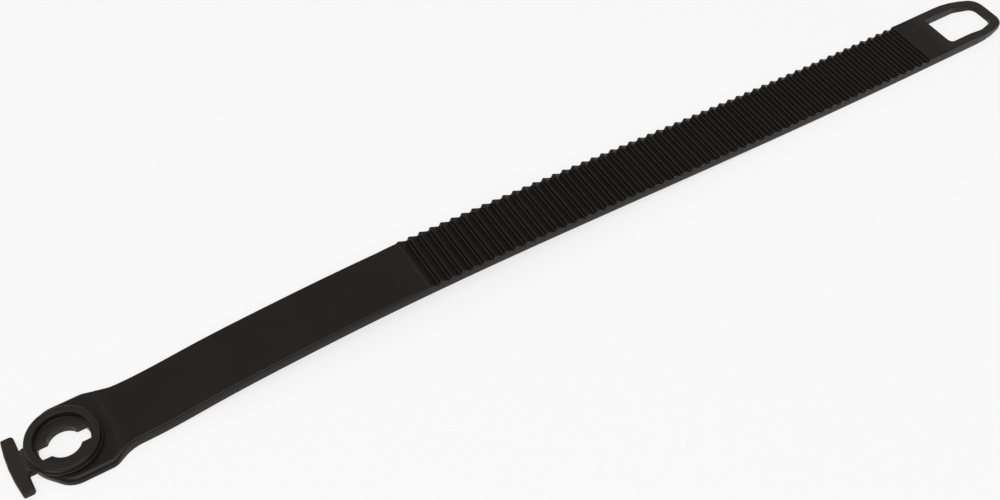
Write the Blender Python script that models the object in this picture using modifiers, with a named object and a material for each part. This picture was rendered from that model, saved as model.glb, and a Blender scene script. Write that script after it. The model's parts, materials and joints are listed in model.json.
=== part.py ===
"""Flexible tension strap: keyhole head with a T tab, smooth shank, sawtooth ribs and a finger loop.

The strap lies along X with its head at -X and its ribs up. It is one soft moulding that bends all along
its length, so it is divided across into short sections. Each section turns on the one before it about
a line across the strap at the height of its neutral layer, and each object's origin lies on that line.
A stiff bush sits in the head's eye.
"""

import math

import bmesh
import bpy
import numpy as np

# Driving dimensions in metres and degrees

STRAP_WIDTH = 0.0240
SHANK_THICKNESS = 0.0043
SHANK_EDGE_RADIUS = 0.00065
SHANK_SECTIONS = 4
SHANK_SECTION_LENGTH = 0.0270

RIB_SECTIONS = 9
RIBS_PER_SECTION = 6
RIB_PITCH = 0.0045
RIB_ROOT = 0.0034
RIB_HEIGHT = 0.0015
RIB_FOOT = 0.0002
RIB_FLAT = 0.0003
RIB_RISE = 0.0007
RIB_LAND = 0.0003
RIB_FALL_HOLLOW = 1.35
RIB_FALL_STEPS = 5

FLEX_HEIGHT = 0.0019
FLEX_LIMIT = 18.0
FLEX_CLEARANCE = 0.0001
ARCH_HEIGHT = 0.0065
ARCH_SKEW = 0.60

TAB_LENGTH = 0.0236
TAB_BAR = 0.0052
TAB_BOW = 0.0010
TAB_THICKNESS = 0.0024
TAB_CORNER_RADIUS = 0.0007
TAB_INNER_RADIUS = 0.0013
STEM_WIDTH = 0.0100
STEM_LENGTH = 0.0014
STEM_FILLET = 0.0004

HEAD_THICKNESS = 0.0032
HEAD_EDGE_RADIUS = 0.0006
CHEEK_MARGIN = 0.0033
CHEEK_FRONT_RADIUS = 0.0085
CHEEK_BACK_RADIUS = 0.0055
NOSE_RADIUS = 0.0142
NOSE_SLANT = 50.0
RAMP_MARGIN = 0.0003
RAMP_LENGTH = 0.0053
FLARE_LENGTH = 0.0067
FLARE_RADIUS = 0.0140
NECK_LENGTH = 0.0047

COLLAR_RADIUS = 0.0125
COLLAR_WALL = 0.0029
COLLAR_HEIGHT = 0.0031
COLLAR_DEPTH = 0.0028
COLLAR_EDGE_RADIUS = 0.0004
COLLAR_LIP = 0.0005
COLLAR_LIP_HEIGHT = 0.0007
COLLAR_SEAT_GAP = 0.0003
HUB_SHOULDER = 0.0020
HUB_CLEARANCE = 0.0002
KEY_RADIUS = 0.0060
KEY_SLOT_WIDTH = 0.0065
KEY_SLOT_LEDGE = 0.0008

LOOP_LENGTH = 0.0487
LOOP_EDGE_RADIUS = 0.0005
LOOP_SIDE_LENGTH = 0.0187
LOOP_SIDE_RADIUS = 0.0460
LOOP_TIP_RADIUS = 0.0062
TONGUE_THICKNESS = 0.0048
WEDGE_LENGTH = 0.0210
WEDGE_TIP_THICKNESS = 0.0020
SIDE_RAIL = 0.0036
TIP_RAIL = 0.0043
OPENING_LENGTH = 0.0278
OPENING_TAPER = 0.0092
OPENING_END_WIDTH = 0.0111
OPENING_CORNER_RADIUS = 0.0020
OPENING_SHOULDER_RADIUS = 0.0105
OPENING_END_RADIUS = 0.0035

# Fineness of the facets, and small tolerances

ARC_STEP = 15.0
ARC_SAG = 0.00003
TURN_STEPS = 64
BEVEL_STEPS = 2
WELD = 0.000002
OVERCUT = 0.001
FLAT_ANGLE = 0.2
SHARP_ANGLE = 35.0
LEAST_TURN = 1.0
EDGE_SHARE = 0.49
UPPER_RISE = 0.8
UPRIGHT_RISE = 0.2

# Values worked out from the driving dimensions

HALF_WIDTH = STRAP_WIDTH / 2
LIP_RADIUS = COLLAR_RADIUS + COLLAR_LIP
NOSE_CENTRE = NOSE_RADIUS - COLLAR_RADIUS
HEAD_WIDTH = 2 * (COLLAR_RADIUS + CHEEK_MARGIN)
EYE_X = TAB_BAR + STEM_LENGTH + COLLAR_RADIUS
RAMP_START = LIP_RADIUS + RAMP_MARGIN
RAMP_END = RAMP_START + RAMP_LENGTH
HEAD_BACK = RAMP_END + NECK_LENGTH
HEAD_LENGTH = EYE_X + HEAD_BACK
COLLAR_TOP = HEAD_THICKNESS + COLLAR_HEIGHT
COLLAR_BORE_RADIUS = COLLAR_RADIUS - COLLAR_WALL
FLOOR_TOP = COLLAR_TOP - COLLAR_DEPTH
HUB_RADIUS = COLLAR_RADIUS - HUB_SHOULDER
EYE_RADIUS = HUB_RADIUS + HUB_CLEARANCE
KEY_SLOT_RADIUS = COLLAR_BORE_RADIUS - KEY_SLOT_LEDGE
RIB_FALL = RIB_PITCH - RIB_RISE - RIB_LAND - RIB_FLAT
RIB_STEEP = RIB_FOOT + RIB_FLAT
RIB_CREST = RIB_STEEP + RIB_RISE
RIB_SECTION_LENGTH = RIBS_PER_SECTION * RIB_PITCH
SECTION_LENGTHS = np.array([SHANK_SECTION_LENGTH] * SHANK_SECTIONS + [RIB_SECTION_LENGTH] * RIB_SECTIONS)


# Rest shape

def rest_slopes():
    """Rest slope of each section: the flex lines lie on an arch sin^2(pi u^skew) between two flat ends."""
    ends = np.concatenate(([0.0], np.cumsum(SECTION_LENGTHS)))
    heights = ARCH_HEIGHT * np.sin(math.pi * (ends / ends[-1]) ** ARCH_SKEW) ** 2
    return np.arcsin(np.diff(heights) / SECTION_LENGTHS)


def rest_kinks():
    """Rest bend at each flex line, from one section's slope to the next."""
    return np.diff(np.concatenate(([0.0], rest_slopes(), [0.0])))


def half_slit(thickness, line):
    """Half the slit at a numbered flex line, so that neighbours just clear each other at the limit of the bend."""
    reach = max(FLEX_HEIGHT, thickness - FLEX_HEIGHT)
    bend = math.radians(FLEX_LIMIT) + abs(rest_kinks()[line])
    return reach * math.tan(bend / 2) + FLEX_CLEARANCE / 2


def clear_scene():
    for old in list(bpy.data.objects):
        bpy.data.objects.remove(old, do_unlink=True)


def new_collection(name):
    collection = bpy.data.collections.new(name)
    bpy.context.scene.collection.children.link(collection)
    return collection


def principled(name, colour, roughness):
    material = bpy.data.materials.new(name)
    material.use_nodes = True
    shader = material.node_tree.nodes["Principled BSDF"]
    shader.inputs["Base Color"].default_value = (*colour, 1.0)
    shader.inputs["Roughness"].default_value = roughness
    shader.inputs["Metallic"].default_value = 0.0
    return material


# Outlines as lists of points

def arc(centre, radius, start, end):
    """Points on an arc from one angle to another, in degrees, whose chords leave it by ARC_SAG at most."""
    step = min(ARC_STEP, 2 * math.degrees(math.acos(1 - min(1.0, ARC_SAG / radius))))
    count = max(2, math.ceil(abs(end - start) / step))
    angles = np.radians(np.linspace(start, end, count + 1))
    return [(centre[0] + radius * math.cos(a), centre[1] + radius * math.sin(a)) for a in angles]


def rounded(corners):
    """A closed outline through corners (x, y, radius), each corner replaced by a tangent arc."""
    points = []
    count = len(corners)
    for index, (x, y, radius) in enumerate(corners):
        here = np.array((x, y))
        to_last = np.array(corners[index - 1][:2]) - here
        to_next = np.array(corners[(index + 1) % count][:2]) - here
        last_way = to_last / np.linalg.norm(to_last)
        next_way = to_next / np.linalg.norm(to_next)
        half = math.acos(np.clip(last_way @ next_way, -1.0, 1.0)) / 2
        if radius == 0 or half > math.radians(90.0 - LEAST_TURN / 2):
            points.append((x, y))
            continue
        room = EDGE_SHARE * min(np.linalg.norm(to_last), np.linalg.norm(to_next))
        reach = min(radius / math.tan(half), room)
        bisector = (last_way + next_way) / np.linalg.norm(last_way + next_way)
        centre = here + bisector * reach / math.cos(half)
        first = here + last_way * reach - centre
        turn = math.degrees(math.pi - 2 * half)
        if first[0] * bisector[1] - first[1] * bisector[0] > 0:
            turn = -turn
        start = math.degrees(math.atan2(first[1], first[0]))
        points += arc(centre, np.linalg.norm(first), start, start + turn)
    return points


def mirrored(half):
    """Closes a half outline, given from the front end to the back end at y >= 0, over the X axis."""
    other = [(x, -y) for x, y in reversed(half) if y > WELD]
    return half + other


# Solids

def face_outwards(work):
    bmesh.ops.recalc_face_normals(work, faces=work.faces)
    if work.calc_volume(signed=True) < 0:
        bmesh.ops.reverse_faces(work, faces=work.faces)


def prism(name, outlines, low, high, collection):
    """A flat outline, with any holes, as a 2D curve filled and extruded from low to high along its normal."""
    curve = bpy.data.curves.new(name, "CURVE")
    curve.dimensions = "2D"
    curve.fill_mode = "BOTH"
    curve.extrude = (high - low) / 2
    for outline in outlines:
        spline = curve.splines.new("POLY")
        spline.points.add(len(outline) - 1)
        for point, (x, y) in zip(spline.points, outline):
            point.co = (x, y, 0.0, 1.0)
        spline.use_cyclic_u = True
    flat = bpy.data.objects.new(name, curve)
    collection.objects.link(flat)
    bpy.context.view_layer.update()
    evaluated = flat.evaluated_get(bpy.context.evaluated_depsgraph_get())
    mesh = bpy.data.meshes.new_from_object(evaluated)
    bpy.data.objects.remove(flat)
    bpy.data.curves.remove(curve)
    work = bmesh.new()
    work.from_mesh(mesh)
    bmesh.ops.remove_doubles(work, verts=work.verts, dist=WELD)
    bmesh.ops.dissolve_limit(work, angle_limit=math.radians(FLAT_ANGLE), verts=work.verts, edges=work.edges)
    for vertex in work.verts:
        vertex.co.z += (low + high) / 2
    face_outwards(work)
    work.to_mesh(mesh)
    work.free()
    mesh.name = name
    solid = bpy.data.objects.new(name, mesh)
    collection.objects.link(solid)
    return solid


def remap(solid, axes):
    """Turns a prism's own axes to the named world axes, such as "xzy" for a side profile."""
    order = ["xyz".index(letter) for letter in axes]
    work = bmesh.new()
    work.from_mesh(solid.data)
    for vertex in work.verts:
        place = tuple(vertex.co)
        for source, target in enumerate(order):
            vertex.co[target] = place[source]
    face_outwards(work)
    work.to_mesh(solid.data)
    work.free()
    return solid


def as_cutter(solid):
    solid.hide_render = True
    solid.display_type = "WIRE"
    return solid


def boolean(solid, operation, cutter):
    modifier = solid.modifiers.new(operation.lower(), "BOOLEAN")
    modifier.operation = operation
    modifier.object = cutter
    modifier.solver = "EXACT"


def apply_modifiers(solid):
    """Replaces an object's mesh with its evaluated one, with flat faces joined up again."""
    bpy.context.view_layer.update()
    evaluated = solid.evaluated_get(bpy.context.evaluated_depsgraph_get())
    mesh = bpy.data.meshes.new_from_object(evaluated)
    solid.modifiers.clear()
    solid.data = mesh
    work = bmesh.new()
    work.from_mesh(mesh)
    bmesh.ops.remove_doubles(work, verts=work.verts, dist=WELD)
    bmesh.ops.dissolve_limit(work, angle_limit=math.radians(FLAT_ANGLE), verts=work.verts, edges=work.edges)
    work.to_mesh(mesh)
    work.free()


def round_top_edges(solid, radius, keep_sharp):
    """Rounds each edge between an upper face and an upright wall, but for those that keep_sharp picks out."""
    work = bmesh.new()
    work.from_mesh(solid.data)
    work.normal_update()
    edges = []
    for edge in work.edges:
        if len(edge.link_faces) != 2:
            continue
        rises = sorted(face.normal.z for face in edge.link_faces)
        middle = (edge.verts[0].co + edge.verts[1].co) / 2
        if rises[1] > UPPER_RISE and abs(rises[0]) < UPRIGHT_RISE and not keep_sharp(middle):
            edges.append(edge)
    bmesh.ops.bevel(
        work, geom=edges, offset=radius, offset_type="OFFSET", segments=BEVEL_STEPS, profile=0.5,
        affect="EDGES", clamp_overlap=True)
    work.to_mesh(solid.data)
    work.free()


def finish(solid, material):
    solid.data.materials.clear()
    solid.data.materials.append(material)
    solid.data.shade_smooth()
    solid.data.set_sharp_from_angle(angle=math.radians(SHARP_ANGLE))
    return solid


# Head

def head_outline():
    """Plan of the head from the T tab to the first flex line, about the eye's centre."""
    tip = -EYE_X
    bar_back = tip + TAB_BAR
    half_bar = TAB_LENGTH / 2
    bow_radius = (half_bar ** 2 + TAB_BOW ** 2) / (2 * TAB_BOW)
    bow_angle = math.degrees(math.asin((half_bar - TAB_CORNER_RADIUS) / bow_radius))
    half_stem = STEM_WIDTH / 2
    stem_angle = 180.0 - math.degrees(math.asin(half_stem / NOSE_RADIUS))
    half_head = HEAD_WIDTH / 2
    normal = math.radians(90.0 + NOSE_SLANT)
    cheek_front = NOSE_CENTRE + (NOSE_RADIUS - math.sin(normal) * half_head) / math.cos(normal)
    bow = arc((tip + bow_radius, 0.0), bow_radius, 180.0, 180.0 - bow_angle)
    nose = arc((NOSE_CENTRE, 0.0), NOSE_RADIUS, stem_angle, 90.0 + NOSE_SLANT)
    tab = rounded([
        (*bow[-1], 0.0),
        (tip + TAB_BOW, half_bar, TAB_CORNER_RADIUS),
        (bar_back, half_bar, TAB_INNER_RADIUS),
        (bar_back, half_stem, STEM_FILLET),
        (*nose[0], STEM_FILLET),
        (*nose[1], 0.0),
    ])
    cheek = rounded([
        (*nose[-1], 0.0),
        (cheek_front, half_head, CHEEK_FRONT_RADIUS),
        (RAMP_END - FLARE_LENGTH, half_head, CHEEK_BACK_RADIUS),
        (RAMP_END, HALF_WIDTH, FLARE_RADIUS),
        (HEAD_BACK - half_slit(SHANK_THICKNESS, 0), HALF_WIDTH, 0.0),
    ])
    return mirrored(bow[:-1] + tab + nose[2:-1] + cheek)


def head_profile():
    """Side view of the head: thin tab, plate round the eye and a ramp up to the shank."""
    before_tip = -EYE_X - OVERCUT
    bar_back = TAB_BAR - EYE_X
    step = HEAD_THICKNESS - TAB_THICKNESS
    return [
        (before_tip, 0.0),
        (HEAD_BACK, 0.0),
        (HEAD_BACK, SHANK_THICKNESS),
        (RAMP_END, SHANK_THICKNESS),
        (RAMP_START, HEAD_THICKNESS),
        (bar_back + step, HEAD_THICKNESS),
        (bar_back, TAB_THICKNESS),
        (before_tip, TAB_THICKNESS),
    ]


def build_head(parts, cutters, rubber):
    head = prism("strap_head", [head_outline()], 0.0, SHANK_THICKNESS + OVERCUT, parts)
    side = prism("head_side_cutter", [head_profile()], -HEAD_WIDTH, HEAD_WIDTH, cutters)
    boolean(head, "INTERSECT", as_cutter(remap(side, "xzy")))
    apply_modifiers(head)
    slit_face = HEAD_BACK - half_slit(SHANK_THICKNESS, 0)
    round_top_edges(head, HEAD_EDGE_RADIUS, lambda point: point.x > slit_face - WELD)
    bpy.ops.mesh.primitive_cylinder_add(
        vertices=TURN_STEPS, radius=EYE_RADIUS, depth=2 * SHANK_THICKNESS + 2 * OVERCUT)
    eye = as_cutter(bpy.context.object)
    eye.name = "head_eye_cutter"
    move_to_collection(eye, cutters)
    boolean(head, "DIFFERENCE", eye)
    apply_modifiers(head)
    return finish(head, rubber)


def move_to_collection(solid, collection):
    for old in list(solid.users_collection):
        old.objects.unlink(solid)
    collection.objects.link(solid)


# Bush

def keyhole_outline():
    """Round hole with two opposed slots along the strap, whose ends are arcs about the hole's centre."""
    half_slot = KEY_SLOT_WIDTH / 2
    hole_angle = math.degrees(math.asin(half_slot / KEY_RADIUS))
    slot_angle = math.degrees(math.asin(half_slot / KEY_SLOT_RADIUS))
    right = arc((0.0, 0.0), KEY_SLOT_RADIUS, -slot_angle, slot_angle)
    top = arc((0.0, 0.0), KEY_RADIUS, hole_angle, 180.0 - hole_angle)
    return right + top + [(-x, -y) for x, y in right + top]


def bush_profile():
    """Half section of the bush from its floor over the collar, its lip and down the hub, as radius and height."""
    seat = HEAD_THICKNESS + COLLAR_SEAT_GAP
    lip_top = seat + COLLAR_LIP_HEIGHT
    corners = rounded([
        (COLLAR_BORE_RADIUS, FLOOR_TOP, 0.0),
        (COLLAR_BORE_RADIUS, COLLAR_TOP, COLLAR_EDGE_RADIUS),
        (COLLAR_RADIUS, COLLAR_TOP, COLLAR_EDGE_RADIUS),
        (COLLAR_RADIUS, lip_top, 0.0),
        (LIP_RADIUS, lip_top, 0.0),
        (LIP_RADIUS, seat, 0.0),
        (HUB_RADIUS, seat, 0.0),
        (HUB_RADIUS, 0.0, 0.0),
    ])
    return [(0.0, FLOOR_TOP)] + corners + [(0.0, 0.0)]


def build_bush(parts, cutters, plastic):
    profile = bush_profile()
    mesh = bpy.data.meshes.new("keyhole_bush")
    vertices = [(radius, 0.0, height) for radius, height in profile]
    mesh.from_pydata(vertices, [(i, i + 1) for i in range(len(profile) - 1)], [])
    bush = bpy.data.objects.new("keyhole_bush", mesh)
    parts.objects.link(bush)
    turn = bush.modifiers.new("turned", "SCREW")
    turn.axis = "Z"
    turn.angle = math.tau
    turn.steps = TURN_STEPS
    turn.render_steps = TURN_STEPS
    turn.use_merge_vertices = True
    turn.merge_threshold = WELD
    key = prism("keyhole_cutter", [keyhole_outline()], -OVERCUT, COLLAR_TOP, cutters)
    boolean(bush, "DIFFERENCE", as_cutter(key))
    apply_modifiers(bush)
    return finish(bush, plastic)


# Sections of the strap

def build_shank_section(index, parts, rubber):
    """A stretch of the plain shank: its rounded cross-section carried from slit to slit."""
    top = SHANK_THICKNESS - FLEX_HEIGHT
    section = rounded([
        (-HALF_WIDTH, -FLEX_HEIGHT, 0.0),
        (HALF_WIDTH, -FLEX_HEIGHT, 0.0),
        (HALF_WIDTH, top, SHANK_EDGE_RADIUS),
        (-HALF_WIDTH, top, SHANK_EDGE_RADIUS),
    ])
    start = half_slit(SHANK_THICKNESS, index - 1)
    end = SHANK_SECTION_LENGTH - half_slit(SHANK_THICKNESS, index)
    solid = prism(f"shank_section_{index}", [section], start, end, parts)
    return finish(remap(solid, "yzx"), rubber)


def rib_line(after_shank):
    """Top line of a section's ribs, x and height: steep face, land, hollow slope and valley at each pitch, after
    the plain shank or after the end of the slope before."""
    shares = np.linspace(0.0, 1.0, RIB_FALL_STEPS + 1)
    xs = [0.0, RIB_STEEP] if after_shank else []
    heights = [SHANK_THICKNESS] * len(xs)
    for rib in range(0 if after_shank else -1, RIBS_PER_SECTION):
        crest = rib * RIB_PITCH + RIB_CREST
        xs += [crest, *(crest + RIB_LAND + shares * RIB_FALL), (rib + 1) * RIB_PITCH + RIB_STEEP]
        slope = RIB_ROOT + RIB_HEIGHT * (1 - shares) ** RIB_FALL_HOLLOW
        heights += [RIB_ROOT + RIB_HEIGHT, *slope, RIB_ROOT]
    return np.array(xs), np.array(heights)


def build_rib_section(index, parts, rubber):
    """A stretch of ribs: its side view, cut off at the slits, carried across the strap."""
    after_shank = index == 1
    xs, heights = rib_line(after_shank)
    start = half_slit(SHANK_THICKNESS if after_shank else RIB_ROOT, SHANK_SECTIONS + index - 1)
    end = RIB_SECTION_LENGTH - half_slit(RIB_ROOT, SHANK_SECTIONS + index)
    inside = (xs > start + WELD) & (xs < end - WELD)
    line = [(start, np.interp(start, xs, heights))]
    line += list(zip(xs[inside], heights[inside]))
    line += [(end, np.interp(end, xs, heights)), (end, 0.0), (start, 0.0)]
    side = [(x, height - FLEX_HEIGHT) for x, height in line]
    solid = prism(f"ribbed_section_{index}", [side], -HALF_WIDTH, HALF_WIDTH, parts)
    return finish(remap(solid, "xzy"), rubber)


# Tongue and loop

def loop_outlines():
    """Plan of the tongue and loop with its finger opening, from the last flex line to the tip."""
    side_start = LOOP_LENGTH - LOOP_SIDE_LENGTH
    side_low = HALF_WIDTH - LOOP_SIDE_RADIUS
    tip_along = LOOP_SIDE_LENGTH - LOOP_TIP_RADIUS
    tip_across = math.sqrt((LOOP_SIDE_RADIUS - LOOP_TIP_RADIUS) ** 2 - tip_along ** 2)
    meet = math.degrees(math.atan2(tip_across, tip_along))
    side = arc((side_start, side_low), LOOP_SIDE_RADIUS, 90.0, meet)
    tip = arc((side_start + tip_along, side_low + tip_across), LOOP_TIP_RADIUS, meet, 0.0)
    start = half_slit(RIB_ROOT, SHANK_SECTIONS + RIB_SECTIONS)
    outer = mirrored([(start, HALF_WIDTH)] + side + tip[1:])
    opening_end = LOOP_LENGTH - TIP_RAIL
    opening_start = opening_end - OPENING_LENGTH
    shoulder = opening_end - OPENING_TAPER
    wide = HALF_WIDTH - SIDE_RAIL
    narrow = OPENING_END_WIDTH / 2
    opening = rounded([
        (opening_start, -wide, OPENING_CORNER_RADIUS),
        (shoulder, -wide, OPENING_SHOULDER_RADIUS),
        (opening_end, -narrow, OPENING_END_RADIUS),
        (opening_end, narrow, OPENING_END_RADIUS),
        (shoulder, wide, OPENING_SHOULDER_RADIUS),
        (opening_start, wide, OPENING_CORNER_RADIUS),
    ])
    return [outer, opening]


def loop_profile():
    """Side view of the tongue: a last steep face, a flat top and a wedge down to the tip."""
    past_tip = LOOP_LENGTH + OVERCUT
    wedge_slope = (TONGUE_THICKNESS - WEDGE_TIP_THICKNESS) / WEDGE_LENGTH
    return [
        (0.0, 0.0),
        (past_tip, 0.0),
        (past_tip, WEDGE_TIP_THICKNESS - wedge_slope * OVERCUT),
        (LOOP_LENGTH - WEDGE_LENGTH, TONGUE_THICKNESS),
        (RIB_CREST, TONGUE_THICKNESS),
        (RIB_STEEP, RIB_ROOT),
        (0.0, RIB_ROOT),
    ]


def build_loop(parts, cutters, rubber):
    loop = prism("pull_loop", loop_outlines(), 0.0, TONGUE_THICKNESS + OVERCUT, parts)
    side = prism("loop_side_cutter", [loop_profile()], -STRAP_WIDTH, STRAP_WIDTH, cutters)
    boolean(loop, "INTERSECT", as_cutter(remap(side, "xzy")))
    apply_modifiers(loop)
    round_top_edges(loop, LOOP_EDGE_RADIUS, lambda point: point.x < RIB_CREST + WELD)
    for vertex in loop.data.vertices:
        vertex.co.z -= FLEX_HEIGHT
    return finish(loop, rubber)


# Assembly

def main():
    clear_scene()
    parts = new_collection("ribbed_tension_strap")
    cutters = new_collection("cutters")
    rubber = principled("strap rubber", (0.020, 0.018, 0.017), 0.55)
    plastic = principled("bush plastic", (0.022, 0.021, 0.021), 0.45)

    head = build_head(parts, cutters, rubber)
    bush = build_bush(parts, cutters, plastic)
    shanks = [build_shank_section(i + 1, parts, rubber) for i in range(SHANK_SECTIONS)]
    ribs = [build_rib_section(i + 1, parts, rubber) for i in range(RIB_SECTIONS)]
    loop = build_loop(parts, cutters, rubber)

    span = HEAD_LENGTH + float(np.sum(SECTION_LENGTHS * np.cos(rest_slopes()))) + LOOP_LENGTH
    head.location = (EYE_X - span / 2, 0.0, 0.0)
    bush.parent = head
    reaches = [HEAD_BACK, *SECTION_LENGTHS]
    carrier = head
    for section, reach, kink in zip([*shanks, *ribs, loop], reaches, rest_kinks()):
        section.parent = carrier
        section.location = (reach, 0.0, FLEX_HEIGHT if carrier is head else 0.0)
        section.rotation_euler = (0.0, -float(kink), 0.0)
        carrier = section


main()
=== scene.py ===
"""Looks of a flexible ribbed tension strap: one moulded skin over its sections, and the bush in its eye."""

import json
import math

import bpy
import numpy as np
from mathutils import Matrix, Vector
from mathutils.geometry import delaunay_2d_cdt

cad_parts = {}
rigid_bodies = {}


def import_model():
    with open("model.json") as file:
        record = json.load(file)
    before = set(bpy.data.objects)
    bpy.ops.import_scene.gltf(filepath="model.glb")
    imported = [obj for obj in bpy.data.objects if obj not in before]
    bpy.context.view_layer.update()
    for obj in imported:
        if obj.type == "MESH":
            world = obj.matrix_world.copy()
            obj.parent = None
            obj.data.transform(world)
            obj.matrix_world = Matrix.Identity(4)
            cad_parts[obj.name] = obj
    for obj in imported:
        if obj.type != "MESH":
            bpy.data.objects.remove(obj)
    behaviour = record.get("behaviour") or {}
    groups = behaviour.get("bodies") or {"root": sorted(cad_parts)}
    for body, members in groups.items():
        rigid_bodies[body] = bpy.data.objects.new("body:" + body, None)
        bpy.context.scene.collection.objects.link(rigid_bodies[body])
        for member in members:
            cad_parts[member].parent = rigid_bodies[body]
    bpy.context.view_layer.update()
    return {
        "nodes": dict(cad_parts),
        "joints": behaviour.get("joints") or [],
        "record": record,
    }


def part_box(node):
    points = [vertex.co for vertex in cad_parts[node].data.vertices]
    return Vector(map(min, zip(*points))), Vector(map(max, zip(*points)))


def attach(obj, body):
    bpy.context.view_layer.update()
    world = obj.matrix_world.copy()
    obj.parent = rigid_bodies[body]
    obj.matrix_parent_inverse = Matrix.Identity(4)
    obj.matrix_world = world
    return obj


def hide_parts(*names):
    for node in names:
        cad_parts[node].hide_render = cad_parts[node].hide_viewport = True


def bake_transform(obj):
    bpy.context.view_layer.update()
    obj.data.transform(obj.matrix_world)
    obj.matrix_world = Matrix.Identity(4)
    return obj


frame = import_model()

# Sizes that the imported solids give, in metres. A station is a length along the strap from the first flex line

joints = frame["joints"]
flex_points = np.array([joint["pos_m"] for joint in joints])[:, [0, 2]]
flex_stations = np.concatenate(([0.0], np.cumsum(np.linalg.norm(np.diff(flex_points, axis=0), axis=1))))
FLEX_HEIGHT = flex_points[0, 1]
body_row = [joints[0]["parent"]] + [joint["child"] for joint in joints]
shank_count = sum(name.startswith("shank_section") for name in frame["nodes"])
head_low, head_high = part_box("strap_head")
bush_low, bush_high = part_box("keyhole_bush")
loop_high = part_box("pull_loop")[1]
HALF_WIDTH = loop_high.y
EYE_STATION = (bush_low.x + bush_high.x) / 2 - flex_points[0, 0]
LIP_RADIUS = (bush_high.x - bush_low.x) / 2
COLLAR_TOP = bush_high.z
TAB_TIP = head_low.x - (bush_low.x + bush_high.x) / 2
HALF_HEAD = head_high.y
SHANK_THICKNESS = head_high.z
TONGUE_THICKNESS = loop_high.z
LOOP_LENGTH = loop_high.x - flex_points[-1, 0]
RIB_START = flex_stations[shank_count]
RIB_END = flex_stations[-1]

# Sizes of the moulding, in metres and degrees

RIB_PITCH = 0.0045
RIB_ROOT = 0.0034
RIB_HEIGHT = 0.0015
RIB_FOOT = 0.00025
RIB_RISE = 0.00085
RIB_SWEEP = 2.8
RIB_LAND = 0.0006
RIB_HOLLOW = 1.1
RIB_SOFTNESS = 0.00010
RIB_EDGE_RADIUS = 0.00025
SHANK_EDGE_RADIUS = 0.00065
UNDER_EDGE_RADIUS = 0.0002
BEND_LENGTH = 0.014

TAB_LENGTH = 0.0236
TAB_BAR = 0.0052
TAB_BOW = 0.0010
TAB_THICKNESS = 0.0024
TAB_CORNER_RADIUS = 0.0007
TAB_INNER_RADIUS = 0.0013
TAB_EDGE_RADIUS = 0.0006
STEM_WIDTH = 0.0100
STEM_FILLET = 0.0004

HEAD_THICKNESS = 0.0032
CHEEK_EDGE_RADIUS = 0.0018
TAB_STEP_LENGTH = 0.0008
CHEEK_FRONT_RADIUS = 0.0085
CHEEK_BACK_RADIUS = 0.0055
NOSE_RADIUS = 0.0142
NOSE_SLANT = 50.0
RAMP_GAP = 0.0003
RAMP_START = LIP_RADIUS + RAMP_GAP
RAMP_LENGTH = 0.0053
RAMP_END = RAMP_START + RAMP_LENGTH
RAMP_ROUNDNESS = 0.5
FLARE_LENGTH = 0.0067
FLARE_RADIUS = 0.0140
EYE_RADIUS = 0.0107
EYE_EDGE_RADIUS = 0.0003
NECK_SEAM = -0.0008

LIP_WIDTH = 0.0005
COLLAR_RADIUS = LIP_RADIUS - LIP_WIDTH
COLLAR_WALL = 0.0029
COLLAR_DEPTH = 0.0028
SEAM_HEIGHT = 0.0003
COLLAR_FOOT = HEAD_THICKNESS + SEAM_HEIGHT
LIP_HEIGHT = 0.0007
LIP_EDGE_RADIUS = 0.00025
RIM_OUTER_RADIUS = 0.0006
RIM_INNER_RADIUS = 0.0004
FLOOR_FILLET = 0.00025
HUB_RADIUS = 0.0105
KEY_RADIUS = 0.0060
KEY_SLOT_WIDTH = 0.0065
KEY_SLOT_RADIUS = 0.0088
KEY_EDGE_RADIUS = 0.0002
KEY_CORNER_TURN = 1.5

LOOP_EDGE_RADIUS = 0.0005
LOOP_SIDE_LENGTH = 0.0187
LOOP_SIDE_RADIUS = 0.0460
LOOP_TIP_RADIUS = 0.0062
WEDGE_LENGTH = 0.0210
WEDGE_TIP_THICKNESS = 0.0020
WEDGE_BLEND = 0.0030
SIDE_RAIL = 0.0036
TIP_RAIL = 0.0043
OPENING_LENGTH = 0.0278
OPENING_TAPER = 0.0092
OPENING_END_WIDTH = 0.0111
OPENING_CORNER_RADIUS = 0.0020
OPENING_SHOULDER_RADIUS = 0.0105
OPENING_END_RADIUS = 0.0035
TONGUE_SEAM = 0.0060

# Fineness of the meshes

ARC_STEP = 7.5
OUTLINE_STEP = 0.0008
FILL_STEP = 0.0014
FILL_MARGIN = 0.0006
EDGE_STEPS = 5
CROSS_POINTS = 9
SHANK_ROW = 0.0015
RIB_ROWS = 10
RIB_TURN_ROWS = 5
RIB_TURN_REACH = 1.2
SOFT_SAMPLES = 9
KEY_SAMPLES = 7
TURN_STEPS = 240
SHARP_ANGLE = 50.0

# Tolerances, with the digits and the scale that rows and fills are worked in

SAME_PLACE = 1e-7
SAME_ROW = 1e-6
ROW_DIGITS = 7
LEAST_SINE = 1e-9
FILL_SCALE = 1000.0
FILL_TOLERANCE = 1e-6

# Finishes: colours in linear light, noise scales per metre, lengths in metres

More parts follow.
